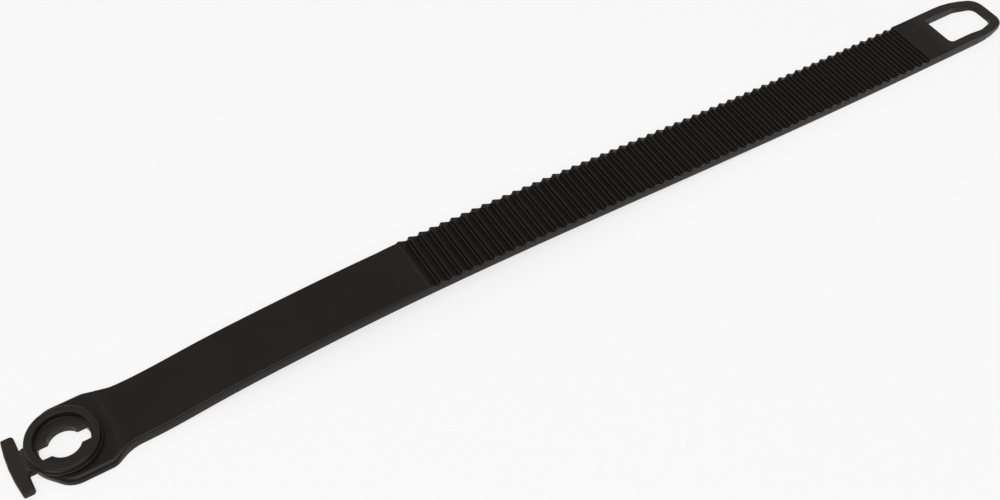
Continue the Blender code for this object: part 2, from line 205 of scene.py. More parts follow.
CLOUD_SCALE = 55.0
CLOUD_DETAIL = 4.0
CLOUD_LOW = 0.3
CLOUD_HIGH = 0.7
GRAIN_SCALE = 2600.0
GRAIN_DETAIL = 3.0
RELIEF_HEIGHT = 0.0001
# Lighter tint on the tab and round the loop: partly handling wear, partly painted highlight where those ends
# look more lit. Its ramps, in metres from the tab's bar and from the last rib:
TAB_WORN_LIT_START = 0.0015
TAB_WORN_LIT_FULL = 0.0005
LOOP_WORN_LIT_START = 0.008
LOOP_WORN_LIT_FULL = 0.018
RUBBER = {
    "tint": (0.0082, 0.0052, 0.0033), "bloom": (0.0102, 0.0068, 0.0046), "worn": (0.0215, 0.0148, 0.0108),
    "smooth": 0.26, "rough": 0.34, "relief": 0.15, "specular": 0.24}
PLASTIC = {
    "tint": (0.0140, 0.0104, 0.0076), "bloom": (0.0188, 0.0142, 0.0108), "worn": (0.019, 0.0145, 0.011),
    "smooth": 0.28, "rough": 0.36, "relief": 0.1, "specular": 0.25}

# Table below the strap

TABLE_HALF = 6.0
TABLE_GAP = 0.0001
TABLE_GREY = 0.86
TABLE_LIFT = {"Is Camera Ray": 0.75, "Is Transmission Ray": 0.75, "Is Glossy Ray": 0.3}

# Lights: places and sides in metres, power in watts, and the room's strength from its horizon to its ceiling

KEY_LIGHT = {"place": (-0.20, -0.56, 1.16), "side": 1.2, "power": 9.6}
BACK_LIGHT = {"place": (-1.02, 0.52, 0.62), "side": 0.6, "power": 2.1}
ROOM_LOW = 0.05
ROOM_HIGH = 0.52
ROOM_RISE = 0.7
ROOM_SEEN = {"Is Camera Ray": 1.0, "Is Transmission Ray": 1.0}

# Camera, as read from the picture: place in metres, angles in radians, focal length in pixels

CAMERA_PLACE = (-0.20006, -0.26148, 0.37784)
CAMERA_YAW = 1.00140
CAMERA_PITCH = 0.88836
CAMERA_ROLL = 0.02023
FOCAL_PIXELS = 1301.6
IMAGE_PIXELS = 1000
SENSOR_WIDTH = 36.0
CLIP_START = 0.01


# The line that the strap follows

def even_slopes(values, end_slope):
    """Slopes at the flex lines of the cubic spline through values, whose bend has no jump, with the given
    slope at both ends."""
    gaps = np.diff(flex_stations)
    rises = np.diff(values) / gaps
    inner = np.arange(1, len(values) - 1)
    system = np.eye(len(values))
    system[inner, inner - 1] = 1 / gaps[:-1]
    system[inner, inner] = 2 / gaps[:-1] + 2 / gaps[1:]
    system[inner, inner + 1] = 1 / gaps[1:]
    target = np.full(len(values), end_slope)
    target[inner] = 3 * (rises[:-1] / gaps[:-1] + rises[1:] / gaps[1:])
    return np.linalg.solve(system, target)


flex_slopes = np.stack([even_slopes(flex_points[:, 0], 1.0), even_slopes(flex_points[:, 1], 0.0)], axis=1)


def bent(station, across, height):
    """Puts flat places (station, across, height over the underside) on the bent strap. Its neutral line is
    a cubic spline through the flex lines, straight on beyond both ends, and heights are measured square to
    it."""
    station, across, height = np.broadcast_arrays(station, across, height)
    inside = np.clip(station, flex_stations[0], flex_stations[-1])
    first = np.clip(np.searchsorted(flex_stations, inside) - 1, 0, len(flex_stations) - 2)
    gap = (flex_stations[first + 1] - flex_stations[first])[..., None]
    t = ((inside - flex_stations[first]) / gap[..., 0])[..., None]
    start, end = flex_points[first], flex_points[first + 1]
    leave, arrive = flex_slopes[first] * gap, flex_slopes[first + 1] * gap
    line = start + leave * t + (3 * (end - start) - 2 * leave - arrive) * t ** 2
    line = line + (leave + arrive - 2 * (end - start)) * t ** 3
    way = leave + 2 * (3 * (end - start) - 2 * leave - arrive) * t
    way = way + 3 * (leave + arrive - 2 * (end - start)) * t ** 2
    way = way / np.linalg.norm(way, axis=-1, keepdims=True)
    line = line + way * (station - inside)[..., None]
    lift = height - FLEX_HEIGHT
    return np.stack([line[..., 0] - way[..., 1] * lift, across, line[..., 1] + way[..., 0] * lift], axis=-1)


def eased(share):
    """Smooth step from 0 to 1."""
    share = np.clip(share, 0.0, 1.0)
    return share * share * (3 - 2 * share)


# Meshes

def grid_faces(rows, columns, closed):
    """Quads of a grid whose points are numbered row by row, joined round its columns where closed."""
    index = np.arange(rows * columns).reshape(rows, columns)
    if closed:
        index = np.concatenate([index, index[:, :1]], axis=1)
    quads = np.stack([index[:-1, :-1], index[:-1, 1:], index[1:, 1:], index[1:, :-1]], axis=-1)
    return quads.reshape(-1, 4)


def new_piece(name, flat, faces, material):
    """A mesh object from flat places on the strap, which it also keeps as an attribute for its finish."""
    mesh = bpy.data.meshes.new(name)
    points = bent(flat[:, 0], flat[:, 1], flat[:, 2])
    mesh.from_pydata(points.tolist(), [], faces)
    keep = mesh.attributes.new("mould_place", "FLOAT_VECTOR", "POINT")
    keep.data.foreach_set("vector", flat.astype(np.float32).ravel())
    mesh.materials.append(material)
    mesh.shade_smooth()
    mesh.set_sharp_from_angle(angle=math.radians(SHARP_ANGLE))
    mesh.update()
    piece = bpy.data.objects.new(name, mesh)
    bpy.context.scene.collection.objects.link(piece)
    return piece


# Outlines in plan, as arrays of points with the material on their left

def arc(centre, radius, start, end):
    """Points on a circle's arc between two angles in degrees."""
    count = max(2, math.ceil(abs(end - start) / ARC_STEP))
    angles = np.radians(np.linspace(start, end, count + 1))
    return np.array(centre) + radius * np.stack([np.cos(angles), np.sin(angles)], axis=1)


def corner(last, here, following, radius):
    """The arc of a given radius that touches both straight runs at a corner, or the corner itself where the
    radius is 0."""
    last_way = (last - here) / np.linalg.norm(last - here)
    next_way = (following - here) / np.linalg.norm(following - here)
    half = math.acos(float(np.clip(last_way @ next_way, -1.0, 1.0))) / 2
    if radius == 0:
        return here[None]
    bisector = (last_way + next_way) / np.linalg.norm(last_way + next_way)
    centre = here + bisector * radius / math.sin(half)
    first = here + last_way * radius / math.tan(half) - centre
    turn = 180.0 - 2 * math.degrees(half)
    if first[0] * bisector[1] - first[1] * bisector[0] > 0:
        turn = -turn
    start = math.degrees(math.atan2(first[1], first[0]))
    return arc(centre, radius, start, start + turn)


def rounded(corners, closed):
    """An outline through corners (x, y, radius); the two ends of an open one stay as they are."""
    places = np.array([(x, y) for x, y, _ in corners])
    runs = []
    for index, (_, _, radius) in enumerate(corners):
        at_end = not closed and index in (0, len(corners) - 1)
        following = places[(index + 1) % len(corners)]
        runs.append(corner(places[index - 1], places[index], following, 0 if at_end else radius))
    return np.concatenate(runs)


def evened(outline, closed):
    """Puts more points on an outline's straight runs, so that no chord is longer than OUTLINE_STEP."""
    path = np.concatenate([outline, outline[:1]]) if closed else outline
    lengths = np.linalg.norm(np.diff(path, axis=0), axis=1)
    keep = np.concatenate(([True], lengths > SAME_PLACE))
    path = path[keep]
    lengths = lengths[keep[1:]]
    reach = np.concatenate(([0.0], np.cumsum(lengths)))
    counts = np.maximum(1, np.ceil(lengths / OUTLINE_STEP)).astype(int)
    marks = np.repeat(np.arange(len(counts)), counts)
    steps = np.arange(len(marks)) - np.repeat(np.cumsum(counts) - counts, counts)
    places = reach[marks] + lengths[marks] * steps / counts[marks]
    if not closed:
        places = np.append(places, reach[-1])
    return np.stack([np.interp(places, reach, path[:, axis]) for axis in (0, 1)], axis=1)


def inward(outline, closed):
    """Unit normals towards the material, on the left of each point's neighbours' chord."""
    if closed:
        chord = np.roll(outline, -1, axis=0) - np.roll(outline, 1, axis=0)
    else:
        chord = np.concatenate([outline[1:], outline[-1:]]) - np.concatenate([outline[:1], outline[:-1]])
    chord = chord / np.linalg.norm(chord, axis=1, keepdims=True)
    return np.stack([-chord[:, 1], chord[:, 0]], axis=1)


# The rounded wall that runs round every plan outline and along both sides of the strap

edge_turn = np.radians(np.linspace(0.0, 90.0, EDGE_STEPS + 1))
WALL_INSET_LOW = np.concatenate([1 - np.sin(edge_turn), [0.0], 0 * edge_turn])
WALL_INSET_TOP = np.concatenate([0 * edge_turn, [0.0], 1 - np.cos(edge_turn)])
WALL_RISE = np.concatenate([0 * edge_turn, [0.5], 0 * edge_turn + 1])
WALL_RISE_LOW = np.concatenate([1 - np.cos(edge_turn), [0.5], 0 * edge_turn])
WALL_RISE_TOP = np.concatenate([0 * edge_turn, [-0.5], np.sin(edge_turn) - 1])
WALL_POINTS = len(WALL_RISE)


def wall_inset(low_radius, top_radius):
    """How far each wall point stands in from the outline: quarter circles at the foot and at the top."""
    return np.multiply.outer(low_radius, WALL_INSET_LOW) + np.multiply.outer(top_radius, WALL_INSET_TOP)


def wall_height(thickness, low_radius, top_radius):
    """How high each wall point stands: quarter circles at the foot and at the top, plain between them."""
    return thickness * WALL_RISE + low_radius * WALL_RISE_LOW + top_radius * WALL_RISE_TOP


# The long run of the strap: its cross-section carried along the stations

def rib_top(station):
    """Height of the strap's top with sharp corners: plain shank, then at each pitch a hollow steep face
    that rises as share ** RIB_SWEEP, a narrow land and a slope that falls as (1 - share) ** RIB_HOLLOW,
    then the tongue."""
    run = station - RIB_START - RIB_FOOT
    phase = np.mod(run, RIB_PITCH)
    fall_start = RIB_RISE + RIB_LAND
    rise = np.clip(phase / RIB_RISE, 0.0, 1.0) ** RIB_SWEEP
    fall = np.clip((phase - fall_start) / (RIB_PITCH - fall_start), 0.0, 1.0)
    ribs = RIB_ROOT + RIB_HEIGHT * np.where(phase < fall_start, rise, (1 - fall) ** RIB_HOLLOW)
    lead_in = SHANK_THICKNESS + (RIB_ROOT + RIB_HEIGHT - SHANK_THICKNESS) * np.where(run < 0, 0.0, rise)
    ribs = np.where(run < fall_start, lead_in, ribs)
    last_rise = np.clip((station - RIB_END - RIB_FOOT) / RIB_RISE, 0.0, 1.0) ** RIB_SWEEP
    return np.where(station > RIB_END + RIB_FOOT, RIB_ROOT + (TONGUE_THICKNESS - RIB_ROOT) * last_rise, ribs)


def strap_top(station):
    """Height of the strap's top as moulded: the sharp line averaged over a short run, which rounds its
    corners."""
    runs = np.linspace(-RIB_SOFTNESS, RIB_SOFTNESS, SOFT_SAMPLES)
    return rib_top(np.asarray(station)[..., None] + runs).mean(axis=-1)


def section_seams():
    """Stations where one skin ends and the next begins: the neck, the middle of each section and the
    tongue."""
    middles = (flex_stations[:-1] + flex_stations[1:]) / 2
    return np.concatenate(([NECK_SEAM], middles, [RIB_END + TONGUE_SEAM])).round(ROW_DIGITS)


def strap_rows():
    """Stations of the cross-sections: even along the shank and tongue, and the same phases in every rib
    pitch, closer together where the rib turns."""
    seams = section_seams()
    shank = np.concatenate([
        np.linspace(start, end, math.ceil((end - start) / SHANK_ROW) + 1)
        for start, end in zip(seams[:shank_count + 1], np.append(seams[1:shank_count + 1], RIB_START))])
    turns = np.cumsum([RIB_FOOT, RIB_RISE / 2, RIB_RISE / 2, RIB_LAND])
    round_turn = np.linspace(-RIB_TURN_REACH, RIB_TURN_REACH, RIB_TURN_ROWS) * RIB_SOFTNESS
    close = (turns[:, None] + round_turn).ravel()
    even = np.linspace(0.0, RIB_PITCH, RIB_ROWS, endpoint=False)
    phases = np.unique(np.concatenate([even, close]).round(ROW_DIGITS))
    ribs = (np.arange(RIB_START, RIB_END - RIB_PITCH / 2, RIB_PITCH)[:, None] + phases).ravel()
    tongue_root = RIB_END + phases[phases < turns[-1]]
    tongue = np.linspace(tongue_root[-1], seams[-1], math.ceil((seams[-1] - tongue_root[-1]) / SHANK_ROW) + 1)
    rows = np.concatenate([shank, ribs, seams, tongue_root, tongue])
    return np.unique(rows.round(ROW_DIGITS))


def ring_across(low_radius, top_radius):
    """Offsets across the strap of one cross-section's points: up the far wall, over the top, down the near
    wall and back along the underside."""
    inset = wall_inset(low_radius, top_radius)
    side = HALF_WIDTH - inset
    spread = np.linspace(1.0, -1.0, CROSS_POINTS + 2)[1:-1]
    top = np.multiply.outer(HALF_WIDTH - top_radius, spread)
    under = np.multiply.outer(HALF_WIDTH - low_radius, -spread)
    return np.concatenate([side, top, -side[..., ::-1], under], axis=-1)


def ring_height(thickness, low_radius, top_radius):
    """Heights of the same points."""
    wall = wall_height(thickness[..., None], low_radius[..., None], top_radius[..., None])
    top = np.repeat(thickness[..., None], CROSS_POINTS, axis=-1)
    return np.concatenate([wall, top, wall[..., ::-1], 0 * top], axis=-1)


def strap_skin(name, stations, material):
    """A closed stretch of the strap: the cross-section at each station, with the first and the last one
    filled."""
    thickness = strap_top(stations)
    ease = eased((stations - RIB_START + 2 * RIB_PITCH) / (2 * RIB_PITCH))
    tongue = eased((stations - RIB_END) / RIB_PITCH)
    top_radius = SHANK_EDGE_RADIUS + (RIB_EDGE_RADIUS - SHANK_EDGE_RADIUS) * ease
    top_radius = top_radius + (LOOP_EDGE_RADIUS - RIB_EDGE_RADIUS) * tongue
    low_radius = np.full(len(stations), UNDER_EDGE_RADIUS)
    across = ring_across(low_radius, top_radius)
    height = ring_height(thickness, low_radius, top_radius)
    columns = across.shape[1]
    flat = np.stack([np.repeat(stations[:, None], columns, axis=1), across, height], axis=-1).reshape(-1, 3)
    ring = np.arange(columns)
    faces = grid_faces(len(stations), columns, True).tolist()
    faces.append(ring[::-1].tolist())
    faces.append((ring + (len(stations) - 1) * columns).tolist())
    return new_piece(name, flat, faces, material)


# Flat ends of the strap: walls round plan outlines, with the top and underside filled between them

def within(points, outline):
    """True for points inside a closed outline, by the count of its edges that a ray from each point
    crosses."""
    start, end = outline, np.roll(outline, -1, axis=0)
    above = (start[:, 1] > points[:, 1:2]) != (end[:, 1] > points[:, 1:2])
    with np.errstate(divide="ignore", invalid="ignore"):
        share = (points[:, 1:2] - start[:, 1]) / (end[:, 1] - start[:, 1])
    crossing = above & (points[:, 0:1] < start[:, 0] + share * (end[:, 0] - start[:, 0]))
    return crossing.sum(axis=1) % 2 == 1


def filled(rim, seam, holes):
    """Triangles between an open rim closed by its seam and the holes inside it, over points that it spreads
    on an even grid, and those points."""
    border = np.concatenate([rim, seam])
    low, high = border.min(axis=0), border.max(axis=0)
    xs = np.arange(low[0] + FILL_STEP / 2, high[0], FILL_STEP)
    ys = np.arange(low[1] + FILL_STEP / 2, high[1], FILL_STEP)
    spread = np.stack(np.meshgrid(xs, ys), axis=-1).reshape(-1, 2)
    inside = within(spread, border)
    near = np.linalg.norm(spread[:, None] - np.concatenate([border, *holes])[None], axis=2).min(axis=1)
    for hole in holes:
        inside &= ~within(spread, hole)
    spread = spread[inside & (near > FILL_MARGIN)]
    points = np.concatenate([border, *holes, spread])
    starts = np.cumsum([0, len(border)] + [len(hole) for hole in holes])
    edges = []
    for start, count in zip(starts, [len(border)] + [len(hole) for hole in holes]):
        index = np.arange(count)
        edges += np.stack([start + index, start + (index + 1) % count], axis=1).tolist()
    scaled = [Vector((x, y)) for x, y in points * FILL_SCALE]
    found = delaunay_2d_cdt(scaled, edges, [], 0, FILL_TOLERANCE)
    first_seen = np.array([sources[0] for sources in found[3]])
    triangles = first_seen[np.array(found[2])]
    middles = points[triangles].mean(axis=1)
    inside = within(middles, border)
    for hole in holes:
        inside &= ~within(middles, hole)
    triangles = triangles[inside]
    a, b, c = (points[triangles[:, k]] for k in range(3))
    turned = np.cross(b - a, c - a) < 0
    triangles[turned] = triangles[turned][:, ::-1]
    return triangles, spread


def plate_wall(outline, closed, edge, top):
    """Points of the wall along an outline, one row at each of its points: inset along its normal and raised
    as the rounded wall is, under the heights that top(x, y) gives."""
    radius = edge(outline[:, 0])
    inset = wall_inset(np.full(len(outline), UNDER_EDGE_RADIUS), radius)
    plan = outline[:, None] + inset[..., None] * inward(outline, closed)[:, None]
    height = wall_height(top(plan[..., 0], plan[..., 1]), UNDER_EDGE_RADIUS, radius[:, None])
    return np.concatenate([plan, height[..., None]], axis=-1)


def plate(name, rim, hole, top, rim_edge, hole_edge, origin, material):
    """A flat end of the strap: walls round its rim and its hole, whose upper edges have the radii that
    rim_edge(x) and hole_edge(x) give, the underside and the top filled between them at the heights that
    top(x, y) gives, and the seam closed by its cross-section."""
    walls = [plate_wall(rim, False, rim_edge, top), plate_wall(hole, True, hole_edge, top)]
    first, last = walls[0][0], walls[0][-1]
    shares = np.linspace(0.0, 1.0, CROSS_POINTS + 2)[1:-1, None]
    seam_top = last[-1] + shares * (first[-1] - last[-1])
    seam_low = last[0] + shares * (first[0] - last[0])
    triangles, spread = filled(walls[0][:, -1, :2], seam_top[:, :2], [wall[:, -1, :2] for wall in walls[1:]])
    spread_top = np.column_stack([spread, top(spread[:, 0], spread[:, 1])])
    spread_low = np.column_stack([spread, np.zeros(len(spread))])
    wall_points = [wall.reshape(-1, 3) for wall in walls]
    flat = np.concatenate([*wall_points, seam_top, seam_low, spread_top, spread_low])
    faces = []
    start = 0
    top_index = []
    low_index = []
    for order, wall in enumerate(walls):
        rows = wall.shape[0]
        quads = grid_faces(rows, WALL_POINTS, False)[:, ::-1] + start
        faces += quads.tolist()
        if order > 0:
            index = np.arange(WALL_POINTS - 1)
            back = start + (rows - 1) * WALL_POINTS + index
            faces += np.stack([back, start + index, start + index + 1, back + 1], axis=1).tolist()
        ends = start + np.arange(rows) * WALL_POINTS
        low_index.append(ends)
        top_index.append(ends + WALL_POINTS - 1)
        start += rows * WALL_POINTS
    seam_top_index = start + np.arange(CROSS_POINTS)
    seam_low_index = seam_top_index + CROSS_POINTS
    spread_index = start + 2 * CROSS_POINTS + np.arange(len(spread))
    top_all = np.concatenate([top_index[0], seam_top_index, *top_index[1:], spread_index])
    low_all = np.concatenate([low_index[0], seam_low_index, *low_index[1:], spread_index + len(spread)])
    faces += top_all[triangles].tolist()
    faces += low_all[triangles[:, ::-1]].tolist()
    wall_first = np.arange(WALL_POINTS)
    wall_last = (walls[0].shape[0] - 1) * WALL_POINTS + np.arange(WALL_POINTS)
    cap = np.concatenate([wall_first, seam_top_index[::-1], wall_last[::-1], seam_low_index])
    faces.append(cap.tolist())
    flat = flat + np.array([origin, 0.0, 0.0])
    return new_piece(name, flat, faces, material)


def head_rim():
    """Plan of the head about the eye's centre, from the seam at the neck round the T tab and back."""
    bar_back = TAB_TIP + TAB_BAR
    half_bar = TAB_LENGTH / 2
    half_stem = STEM_WIDTH / 2
    bow_radius = (half_bar ** 2 + TAB_BOW ** 2) / (2 * TAB_BOW)
    bow_angle = math.degrees(math.asin((half_bar - TAB_CORNER_RADIUS) / bow_radius))
    nose_centre = NOSE_RADIUS - COLLAR_RADIUS
    nose_start = math.degrees(math.asin(half_stem / NOSE_RADIUS))
    slant = math.radians(90.0 + NOSE_SLANT)
    cheek_front = nose_centre + (NOSE_RADIUS - math.sin(slant) * HALF_HEAD) / math.cos(slant)
    nose = arc((nose_centre, 0.0), NOSE_RADIUS, 90.0 + NOSE_SLANT, 180.0 - nose_start)
    bow = arc((TAB_TIP + bow_radius, 0.0), bow_radius, 180.0 - bow_angle, 180.0)
    neck_end = NECK_SEAM - EYE_STATION
    cheek = rounded([
        (neck_end, HALF_WIDTH, 0.0),
        (RAMP_END, HALF_WIDTH, FLARE_RADIUS),
        (RAMP_END - FLARE_LENGTH, HALF_HEAD, CHEEK_BACK_RADIUS),
        (cheek_front, HALF_HEAD, CHEEK_FRONT_RADIUS),
        (*nose[0], 0.0),
    ], False)
    tab = rounded([
        (*nose[-2], 0.0),
        (*nose[-1], STEM_FILLET),
        (bar_back, half_stem, STEM_FILLET),
        (bar_back, half_bar, TAB_INNER_RADIUS),
        (TAB_TIP + TAB_BOW, half_bar, TAB_CORNER_RADIUS),
        (*bow[0], 0.0),
    ], False)
    half = np.concatenate([cheek, nose[1:-2], tab, bow[1:]])
    return np.concatenate([half, half[-2::-1] * np.array([1.0, -1.0])])


def head_top(x, y):
    """Height of the head's top: thin tab, an eased step up to the plate, and an eased ramp up to the shank
    that starts along an oval round the collar."""
    step = eased((x - TAB_TIP - TAB_BAR) / TAB_STEP_LENGTH)
    oval = np.hypot(np.maximum(x, 0.0), RAMP_ROUNDNESS * y)
    ramp = eased((oval - RAMP_START) / RAMP_LENGTH)
    plate_top = TAB_THICKNESS + (HEAD_THICKNESS - TAB_THICKNESS) * step
    return plate_top + (SHANK_THICKNESS - HEAD_THICKNESS) * ramp


def head_edge(x):
    """Radius of the head's upper edge: small on the tab, full on the cheeks, and the shank's own at the
    neck."""
    cheek = eased((x + COLLAR_RADIUS - STEM_FILLET) / CHEEK_FRONT_RADIUS)
    neck = eased((x - RAMP_END + FLARE_LENGTH) / FLARE_LENGTH)
    radius = TAB_EDGE_RADIUS + (CHEEK_EDGE_RADIUS - TAB_EDGE_RADIUS) * cheek
    return radius + (SHANK_EDGE_RADIUS - CHEEK_EDGE_RADIUS) * neck


def eye_edge(x):
    """Radius of the eye's upper edge, which the collar hides."""
    return np.full(len(x), EYE_EDGE_RADIUS)


def head_skin(material):
    """The head with its T tab, ramp and flare, and the eye that the bush fills."""
    rim = evened(head_rim(), False)
    eye = arc((0.0, 0.0), EYE_RADIUS, 360.0, 0.0)[:-1]
    return plate("head_skin", rim, eye, head_top, head_edge, eye_edge, EYE_STATION, material)


def loop_rim():
    """Plan of the loop from the last flex line: straight sides, long side arcs, corner arcs that touch
    them, and a blunt tip."""
    side_start = LOOP_LENGTH - LOOP_SIDE_LENGTH
    side_high = LOOP_SIDE_RADIUS - HALF_WIDTH
    tip_along = LOOP_SIDE_LENGTH - LOOP_TIP_RADIUS
    tip_across = math.sqrt((LOOP_SIDE_RADIUS - LOOP_TIP_RADIUS) ** 2 - tip_along ** 2)
    meet = -math.degrees(math.atan2(tip_across, tip_along))
    side = arc((side_start, side_high), LOOP_SIDE_RADIUS, -90.0, meet)
    tip = arc((side_start + tip_along, side_high - tip_across), LOOP_TIP_RADIUS, meet, 0.0)
    half = np.concatenate([[(TONGUE_SEAM, -HALF_WIDTH)], side, tip[1:], [(LOOP_LENGTH, 0.0)]])
    return np.concatenate([half, half[-2::-1] * np.array([1.0, -1.0])])


def loop_opening():
    """Plan of the finger opening: a long rounded shape with two parallel sides that close in towards the
    tip."""
    end = LOOP_LENGTH - TIP_RAIL
    start = end - OPENING_LENGTH
    shoulder = end - OPENING_TAPER
    wide = HALF_WIDTH - SIDE_RAIL
    narrow = OPENING_END_WIDTH / 2
    return rounded([
        (start, wide, OPENING_CORNER_RADIUS),
        (shoulder, wide, OPENING_SHOULDER_RADIUS),
        (end, narrow, OPENING_END_RADIUS),
        (end, -narrow, OPENING_END_RADIUS),
        (shoulder, -wide, OPENING_SHOULDER_RADIUS),
        (start, -wide, OPENING_CORNER_RADIUS),
    ], True)


def loop_top(x, y):
    """Height of the loop's top, the same at every y: the flat tongue, then a wedge that thins towards the
    tip, met in a short curve."""
    slope = (TONGUE_THICKNESS - WEDGE_TIP_THICKNESS) / WEDGE_LENGTH
    past = x - (LOOP_LENGTH - WEDGE_LENGTH)
    drop = np.where(past > WEDGE_BLEND, past, (past + WEDGE_BLEND) ** 2 / (4 * WEDGE_BLEND))
    return TONGUE_THICKNESS - slope * np.where(past < -WEDGE_BLEND, 0.0, drop)


def loop_edge(x):
    """Radius of the loop's upper edge, the same all round."""
    return np.full(len(x), LOOP_EDGE_RADIUS)


def loop_skin(material):
    """The tongue's end and the pull loop, with its finger opening."""
    rim = evened(loop_rim(), False)
    opening = evened(loop_opening(), True)
    return plate("loop_skin", rim, opening, loop_top, loop_edge, loop_edge, RIB_END, material)


# The bush in the eye

def key_reach(angle):
    """Distance from the keyhole's centre to its edge: a round hole, or the end or side of a slot where that
    is further, averaged over a short turn, which rounds the corners."""
    turns = np.radians(np.linspace(-KEY_CORNER_TURN, KEY_CORNER_TURN, KEY_SAMPLES))
    sine = np.abs(np.sin(angle[:, None] + turns)) + LEAST_SINE
    slot = np.minimum(KEY_SLOT_RADIUS, KEY_SLOT_WIDTH / 2 / sine)
    return np.maximum(KEY_RADIUS, slot).mean(axis=1)


def bush_skin(material):
    """The bush as one closed ring: its half section, as radius and height, turned about the eye's centre.
    The keyhole's part of the section stands at the keyhole's own reach at each angle."""
    bore = COLLAR_RADIUS - COLLAR_WALL
    floor = COLLAR_TOP - COLLAR_DEPTH
    turn = np.linspace(0.0, np.pi / 2, EDGE_STEPS + 1)
    quarter_in, quarter_up = 1 - np.cos(turn), 1 - np.sin(turn)
    lip_top = COLLAR_FOOT + LIP_HEIGHT
    outside = np.array([(HUB_RADIUS, 0.0), (HUB_RADIUS, COLLAR_FOOT), (LIP_RADIUS, COLLAR_FOOT)])
    lip = np.stack([LIP_RADIUS - LIP_EDGE_RADIUS * quarter_in,
                    lip_top - LIP_EDGE_RADIUS * quarter_up], axis=1)
    wall_foot = np.array([(COLLAR_RADIUS, lip_top)])
    outer_rim = np.stack([COLLAR_RADIUS - RIM_OUTER_RADIUS * quarter_in,
                          COLLAR_TOP - RIM_OUTER_RADIUS * quarter_up], axis=1)
    inner_rim = np.stack([bore + RIM_INNER_RADIUS * quarter_in[::-1],
                          COLLAR_TOP - RIM_INNER_RADIUS * quarter_up[::-1]], axis=1)
    fillet = np.stack([bore - FLOOR_FILLET * quarter_in, floor + FLOOR_FILLET * quarter_up], axis=1)
    round_part = np.concatenate([outside, lip, wall_foot, outer_rim, inner_rim, fillet])
    key_top = np.stack([KEY_EDGE_RADIUS * quarter_in[::-1],
                        floor - KEY_EDGE_RADIUS * quarter_up[::-1]], axis=1)
    key_low = np.stack([KEY_EDGE_RADIUS * quarter_in, KEY_EDGE_RADIUS * quarter_up], axis=1)
    key_part = np.concatenate([key_top, key_low])
    angle = np.radians(np.linspace(0.0, 360.0, TURN_STEPS, endpoint=False))
    radius = np.concatenate([
        np.repeat(round_part[None, :, 0], TURN_STEPS, axis=0),
        key_reach(angle)[:, None] + key_part[None, :, 0]], axis=1)
    height = np.concatenate([round_part[:, 1], key_part[:, 1]])
    columns = radius.shape[1]
    flat = np.stack([
        EYE_STATION + radius * np.cos(angle)[:, None],
        radius * np.sin(angle)[:, None],
        np.repeat(height[None], TURN_STEPS, axis=0)], axis=-1).reshape(-1, 3)
    index = np.arange(TURN_STEPS * columns).reshape(TURN_STEPS, columns)
    after = np.roll(index, -1, axis=0)
    faces = np.stack([index, after, np.roll(after, -1, axis=1), np.roll(index, -1, axis=1)], axis=-1)
    return new_piece("bush_skin", flat, faces.reshape(-1, 4).tolist(), material)


# Finishes

def node(tree, kind, **settings):
    """A new node of a kind, with its own settings."""
    made = tree.nodes.new(kind)
    for key, value in settings.items():
        setattr(made, key, value)
    return made


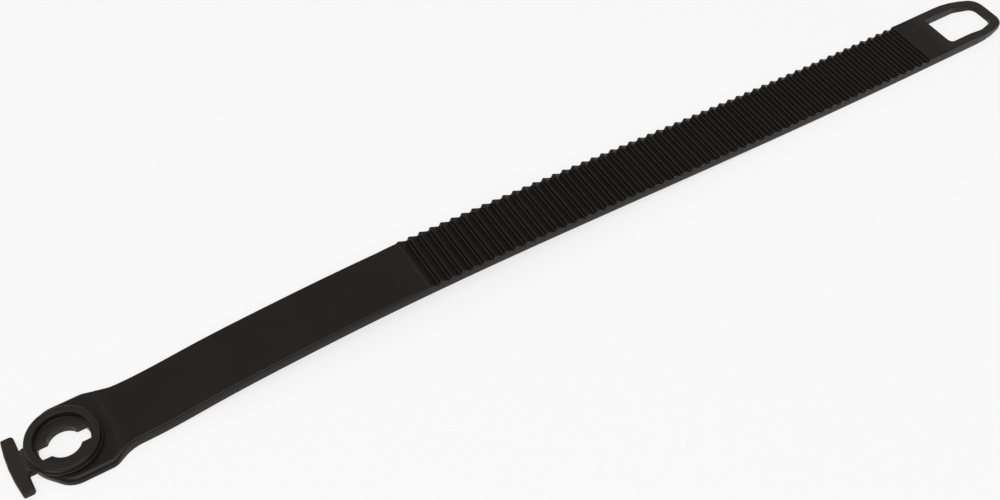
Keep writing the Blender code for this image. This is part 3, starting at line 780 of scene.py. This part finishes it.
def moulded_surface():
    """Node group: mottled tint, roughness and fine relief of a moulded dark surface, from places on the
    strap, with a lighter tint on the tab and round the loop that stands for handling wear and for painted
    highlight."""
    group = bpy.data.node_groups.new("moulded_surface", "ShaderNodeTree")
    sockets = (
        ("INPUT", "Vector", ("Place",)),
        ("INPUT", "Color", ("Tint", "Bloom", "Worn")),
        ("INPUT", "Float", ("Smooth", "Rough")),
        ("OUTPUT", "Color", ("Colour",)),
        ("OUTPUT", "Float", ("Roughness", "Relief")))
    for way, kind, names in sockets:
        for name in names:
            group.interface.new_socket(name, in_out=way, socket_type=f"NodeSocket{kind}")
    enter = node(group, "NodeGroupInput")
    leave = node(group, "NodeGroupOutput")
    cloud = node(group, "ShaderNodeTexNoise")
    cloud.inputs["Scale"].default_value = CLOUD_SCALE
    cloud.inputs["Detail"].default_value = CLOUD_DETAIL
    grain = node(group, "ShaderNodeTexNoise")
    grain.inputs["Scale"].default_value = GRAIN_SCALE
    grain.inputs["Detail"].default_value = GRAIN_DETAIL
    tint = node(group, "ShaderNodeMix", data_type="RGBA")
    spread = node(group, "ShaderNodeMapRange")
    spread.inputs["From Min"].default_value = CLOUD_LOW
    spread.inputs["From Max"].default_value = CLOUD_HIGH
    rough = node(group, "ShaderNodeMix", data_type="FLOAT")
    parts = node(group, "ShaderNodeSeparateXYZ")
    # Painted highlight together with handling wear: a lighter tint that fades in on the tab and round the loop.
    at_tab = node(group, "ShaderNodeMapRange", interpolation_type="SMOOTHSTEP")
    at_tab.inputs["From Min"].default_value = EYE_STATION + TAB_TIP + TAB_BAR + TAB_WORN_LIT_START
    at_tab.inputs["From Max"].default_value = EYE_STATION + TAB_TIP + TAB_BAR - TAB_WORN_LIT_FULL
    at_loop = node(group, "ShaderNodeMapRange", interpolation_type="SMOOTHSTEP")
    at_loop.inputs["From Min"].default_value = RIB_END + LOOP_WORN_LIT_START
    at_loop.inputs["From Max"].default_value = RIB_END + LOOP_WORN_LIT_FULL
    worn_lit_share = node(group, "ShaderNodeMath", operation="MAXIMUM")
    worn = node(group, "ShaderNodeMix", data_type="RGBA")
    link = group.links.new
    link(enter.outputs["Place"], parts.inputs["Vector"])
    link(parts.outputs["X"], at_tab.inputs["Value"])
    link(parts.outputs["X"], at_loop.inputs["Value"])
    link(at_tab.outputs["Result"], worn_lit_share.inputs[0])
    link(at_loop.outputs["Result"], worn_lit_share.inputs[1])
    link(worn_lit_share.outputs["Value"], worn.inputs["Factor"])
    link(tint.outputs["Result"], worn.inputs["A"])
    link(enter.outputs["Worn"], worn.inputs["B"])
    link(enter.outputs["Place"], cloud.inputs["Vector"])
    link(enter.outputs["Place"], grain.inputs["Vector"])
    link(cloud.outputs["Fac"], spread.inputs["Value"])
    link(spread.outputs["Result"], tint.inputs["Factor"])
    link(enter.outputs["Tint"], tint.inputs["A"])
    link(enter.outputs["Bloom"], tint.inputs["B"])
    link(grain.outputs["Fac"], rough.inputs["Factor"])
    link(enter.outputs["Smooth"], rough.inputs["A"])
    link(enter.outputs["Rough"], rough.inputs["B"])
    link(worn.outputs["Result"], leave.inputs["Colour"])
    link(rough.outputs["Result"], leave.inputs["Roughness"])
    link(grain.outputs["Fac"], leave.inputs["Relief"])
    return group


def moulded_finish(name, group, tint, bloom, worn, smooth, rough, relief, specular):
    """A dark moulded finish: the group's tint, roughness and relief on a Principled shader."""
    material = bpy.data.materials.new(name)
    material.use_nodes = True
    tree = material.node_tree
    shader = tree.nodes["Principled BSDF"]
    shader.inputs["Specular IOR Level"].default_value = specular
    place = node(tree, "ShaderNodeAttribute", attribute_name="mould_place")
    surface = node(tree, "ShaderNodeGroup", node_tree=group)
    surface.inputs["Tint"].default_value = (*tint, 1.0)
    surface.inputs["Bloom"].default_value = (*bloom, 1.0)
    surface.inputs["Worn"].default_value = (*worn, 1.0)
    surface.inputs["Smooth"].default_value = smooth
    surface.inputs["Rough"].default_value = rough
    bump = node(tree, "ShaderNodeBump")
    bump.inputs["Strength"].default_value = relief
    bump.inputs["Distance"].default_value = RELIEF_HEIGHT
    link = tree.links.new
    link(place.outputs["Vector"], surface.inputs["Place"])
    link(surface.outputs["Colour"], shader.inputs["Base Color"])
    link(surface.outputs["Roughness"], shader.inputs["Roughness"])
    link(surface.outputs["Relief"], bump.inputs["Height"])
    link(bump.outputs["Normal"], shader.inputs["Normal"])
    return material


def seen_rays(tree, base, shares):
    """Value that rises from base to a ray kind's own share: the largest of base and share times Light
    Path's output for each kind."""
    rays = node(tree, "ShaderNodeLightPath")
    value = base
    for kind, share in shares.items():
        part = node(tree, "ShaderNodeMath", operation="MULTIPLY")
        part.inputs[1].default_value = share
        larger = node(tree, "ShaderNodeMath", operation="MAXIMUM")
        larger.inputs[0].default_value = 0.0
        tree.links.new(rays.outputs[kind], part.inputs[0])
        tree.links.new(part.outputs["Value"], larger.inputs[1])
        if value is not None:
            tree.links.new(value, larger.inputs[0])
        value = larger.outputs["Value"]
    return value


def floor_finish():
    """White table: a pale diffuse surface, lifted towards white where the camera or a gloss sees it, that
    keeps a soft trace of the shadow."""
    material = bpy.data.materials.new("white_table")
    material.use_nodes = True
    tree = material.node_tree
    tree.nodes.clear()
    out = node(tree, "ShaderNodeOutputMaterial")
    matt = node(tree, "ShaderNodeBsdfDiffuse")
    matt.inputs["Color"].default_value = (TABLE_GREY, TABLE_GREY, TABLE_GREY, 1.0)
    white = node(tree, "ShaderNodeEmission")
    mix = node(tree, "ShaderNodeMixShader")
    link = tree.links.new
    link(seen_rays(tree, None, TABLE_LIFT), mix.inputs["Fac"])
    link(matt.outputs["BSDF"], mix.inputs[1])
    link(white.outputs["Emission"], mix.inputs[2])
    link(mix.outputs["Shader"], out.inputs["Surface"])
    return material


# Studio

def make_floor():
    """Square table, a hair below the strap's underside so that the two faces don't coincide."""
    mesh = bpy.data.meshes.new("table")
    across = np.array([(-1.0, -1.0, 0.0), (1.0, -1.0, 0.0), (1.0, 1.0, 0.0), (-1.0, 1.0, 0.0)])
    corners = across * TABLE_HALF - np.array([0.0, 0.0, TABLE_GAP])
    mesh.from_pydata(corners, [], [(0, 1, 2, 3)])
    mesh.materials.append(floor_finish())
    table = bpy.data.objects.new("table", mesh)
    bpy.context.scene.collection.objects.link(table)


def make_light(name, place, side, power):
    """Square area light that looks at the frame's origin."""
    lamp = bpy.data.lights.new(name, "AREA")
    lamp.shape = "RECTANGLE"
    lamp.size = side
    lamp.size_y = side
    lamp.energy = power
    light = bpy.data.objects.new(name, lamp)
    light.location = place
    light.rotation_euler = (-Vector(place)).to_track_quat("-Z", "Y").to_euler()
    bpy.context.scene.collection.objects.link(light)


def make_world():
    """A soft room: dim white walls that grow lighter from the horizon to the ceiling, and that the camera
    sees as plain white."""
    world = bpy.data.worlds.new("soft_room")
    world.use_nodes = True
    tree = world.node_tree
    background = tree.nodes["Background"]
    background.inputs["Color"].default_value = (1.0, 1.0, 1.0, 1.0)
    way = node(tree, "ShaderNodeTexCoord")
    parts = node(tree, "ShaderNodeSeparateXYZ")
    rise = node(tree, "ShaderNodeMapRange", interpolation_type="SMOOTHSTEP")
    rise.inputs["From Max"].default_value = ROOM_RISE
    rise.inputs["To Min"].default_value = ROOM_LOW
    rise.inputs["To Max"].default_value = ROOM_HIGH
    link = tree.links.new
    link(way.outputs["Generated"], parts.inputs["Vector"])
    link(parts.outputs["Z"], rise.inputs["Value"])
    link(seen_rays(tree, rise.outputs["Result"], ROOM_SEEN), background.inputs["Strength"])
    bpy.context.scene.world = world


def make_camera():
    """Camera whose axes follow from its yaw, pitch and roll, with the lens that gives its focal length."""
    lens = bpy.data.cameras.new("camera")
    lens.sensor_width = SENSOR_WIDTH
    lens.lens = FOCAL_PIXELS / IMAGE_PIXELS * SENSOR_WIDTH
    lens.clip_start = CLIP_START
    ahead = Vector((
        math.cos(CAMERA_YAW) * math.cos(CAMERA_PITCH),
        math.sin(CAMERA_YAW) * math.cos(CAMERA_PITCH),
        -math.sin(CAMERA_PITCH)))
    level = Vector((math.sin(CAMERA_YAW), -math.cos(CAMERA_YAW), 0.0))
    upright = level.cross(ahead)
    right = math.cos(CAMERA_ROLL) * level + math.sin(CAMERA_ROLL) * upright
    up = math.cos(CAMERA_ROLL) * upright - math.sin(CAMERA_ROLL) * level
    camera = bpy.data.objects.new("camera", lens)
    turn = Matrix((right, up, -ahead)).transposed().to_4x4()
    camera.matrix_world = Matrix.Translation(CAMERA_PLACE) @ turn
    bpy.context.scene.collection.objects.link(camera)
    bpy.context.scene.camera = camera


# Assembly

def bend_across(skin, number):
    """Bakes a skin's placement into its mesh. It works out the strap's line over BEND_LENGTH either side of the
    flex line, but does not use it.
    """
    flex_line = flex_stations[number - 1]
    bent(flex_line - BEND_LENGTH / 2, 0.0, FLEX_HEIGHT)
    bent(flex_line + BEND_LENGTH / 2, 0.0, FLEX_HEIGHT)
    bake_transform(skin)


make_camera()
make_floor()
make_world()
make_light("key", **KEY_LIGHT)
make_light("back", **BACK_LIGHT)
bpy.context.scene.view_settings.view_transform = "Standard"

surface = moulded_surface()
rubber = moulded_finish("strap_rubber_finish", surface, **RUBBER)
plastic = moulded_finish("bush_plastic_finish", surface, **PLASTIC)

head = head_skin(rubber)
bend_across(head, 1)
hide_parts("strap_head")

bush = bush_skin(plastic)
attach(bush, body_row[0])
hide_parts("keyhole_bush")

seams = section_seams()
rows = strap_rows()
section_nodes = frame["record"]["behaviour"]["bodies"]
for number, (start, end) in enumerate(zip(seams[:-1], seams[1:]), 1):
    own_rows = rows[(rows >= start - SAME_ROW) & (rows <= end + SAME_ROW)]
    skin = strap_skin(f"strap_skin_{number:02d}", own_rows, rubber)
    bend_across(skin, number)
    if number < len(body_row) - 1:
        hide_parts(*section_nodes[body_row[number]])

loop = loop_skin(rubber)
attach(loop, body_row[-1])
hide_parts("pull_loop")
